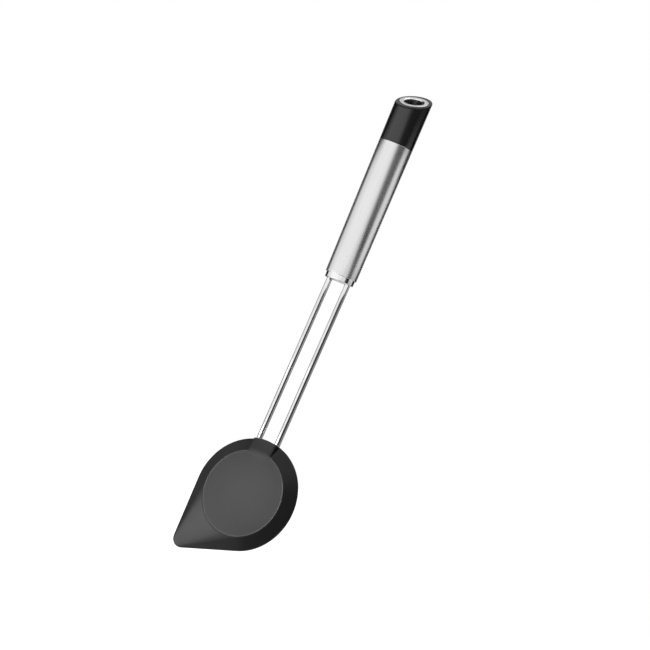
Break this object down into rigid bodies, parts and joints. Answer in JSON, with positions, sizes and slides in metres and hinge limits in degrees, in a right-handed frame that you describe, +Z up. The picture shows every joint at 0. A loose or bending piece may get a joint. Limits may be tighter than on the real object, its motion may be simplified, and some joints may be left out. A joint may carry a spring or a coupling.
{
  "type": "cooking spoon",
  "caption": "Cooking spoon: round plastic head drawn out to a blunt point, bent wire shank, steel tube handle and slanted black end cap with a steel hanging eye.",
  "frame": {"origin": "middle of the steel hanging eye in the slanted end of the handle, which the spoon hangs by", "axes": "+Z up along the handle, away from the head; -Y out of the front, the side that the raised disc of the head faces; +X to the right of someone who looks at that side"},
  "size_m": [0.0776, 0.0284, 0.3464],
  "materials": {
    "brushed_steel": "brushed along the handle",
    "polished_steel": "polished",
    "black_plastic": "satin",
    "dark_nylon": "fine matte moulded"
  },
  "bodies": {
    "root": {"handle_tube": "brushed_steel", "end_cap": "black_plastic", "hanging_eyelet": "polished_steel", "end_plug": "polished_steel", "wire_shank": "polished_steel", "spoon_head": "dark_nylon"}
  },
  "joints": []
}
